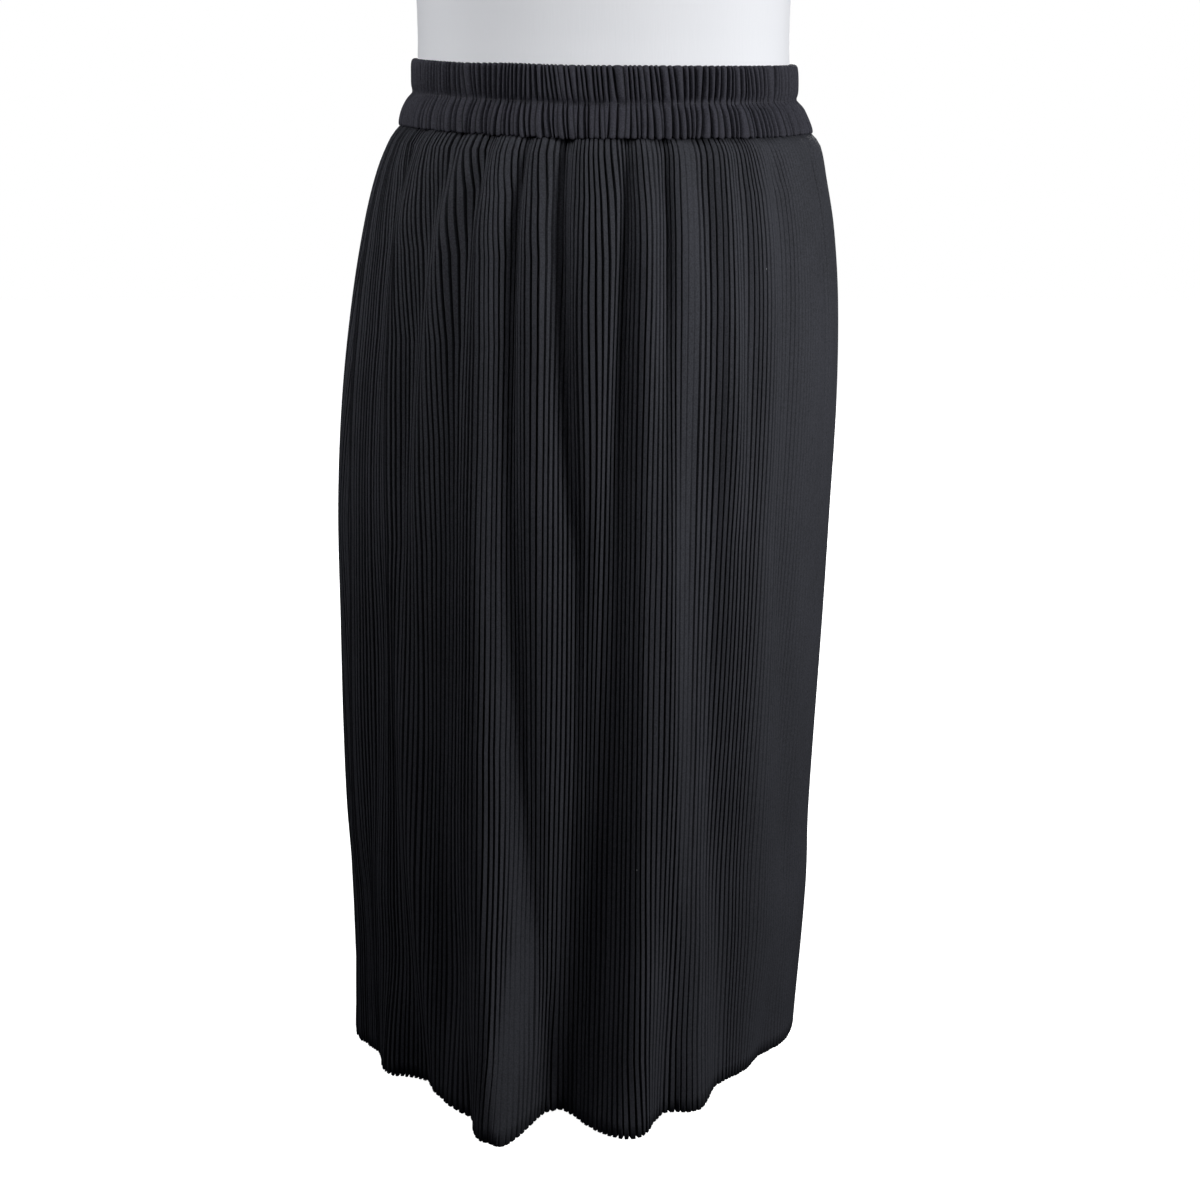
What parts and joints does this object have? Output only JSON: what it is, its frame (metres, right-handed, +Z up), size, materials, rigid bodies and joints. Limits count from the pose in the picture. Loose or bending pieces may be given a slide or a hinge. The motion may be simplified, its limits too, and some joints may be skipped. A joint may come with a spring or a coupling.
{
  "type": "pleated skirt on dress form",
  "caption": "Long accordion-pleated pull-on skirt with a tiered, gathered elastic waistband, worn by a plain limbless dress form on a round stand.",
  "frame": {"origin": "centre of the round stand's underside, on the pole's axis, straight below the middle of the waist", "axes": "+Z up, -Y towards the front of the skirt, +X towards the wearer's left side"},
  "size_m": [0.3943, 0.3773, 1.3],
  "materials": {
    "pleated_cloth": "satin pleated crepe jersey",
    "band_cloth": "smooth matt jersey",
    "form_jersey": "matt stretched jersey",
    "stand_metal": "satin enamel"
  },
  "bodies": {
    "root": {"skirt_front": "pleated_cloth", "skirt_back": "pleated_cloth", "waistband": "band_cloth", "form_body": "form_jersey", "form_pole": "stand_metal", "form_base": "stand_metal"}
  },
  "joints": []
}
